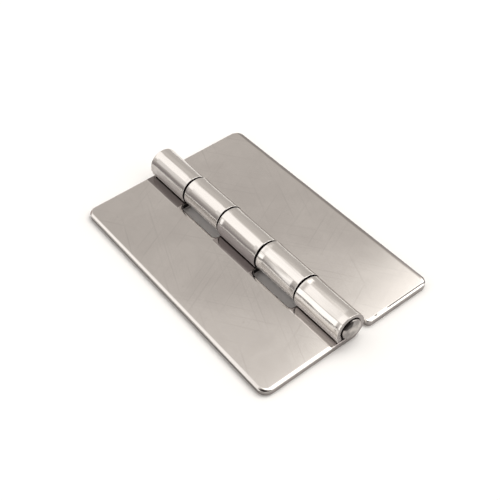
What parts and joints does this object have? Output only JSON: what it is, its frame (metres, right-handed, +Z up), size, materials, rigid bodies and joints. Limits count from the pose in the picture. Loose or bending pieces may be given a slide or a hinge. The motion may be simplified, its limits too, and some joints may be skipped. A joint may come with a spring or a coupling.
{
  "type": "weld-on butt hinge",
  "caption": "Stainless steel butt hinge without screw holes, its two flat leaves rolled into knuckles round a plain pin, to be welded onto a door and its frame.",
  "frame": {"origin": "on the plane that the open hinge lies on, straight under the middle of the pin", "axes": "+Z up out of the leaves on the barrel's side, Y along the pin, +X from the pin towards the leaf with two knuckles"},
  "size_m": [0.08, 0.1216, 0.0131],
  "materials": {
    "leaf_steel": "polished, with a faint lengthwise grain",
    "pin_steel": "turned and lightly polished"
  },
  "bodies": {
    "fixed_leaf": {"leaf_with_three_knuckles": "leaf_steel", "hinge_pin": "pin_steel"},
    "swinging_leaf": {"leaf_with_two_knuckles": "leaf_steel"}
  },
  "joints": [
    {"name": "leaf_swing", "type": "hinge", "parent": "fixed_leaf", "child": "swinging_leaf", "pos_m": [0, 0, 0.00655], "axis": [0, -1, 0], "range_deg": [-98, 190]}
  ]
}
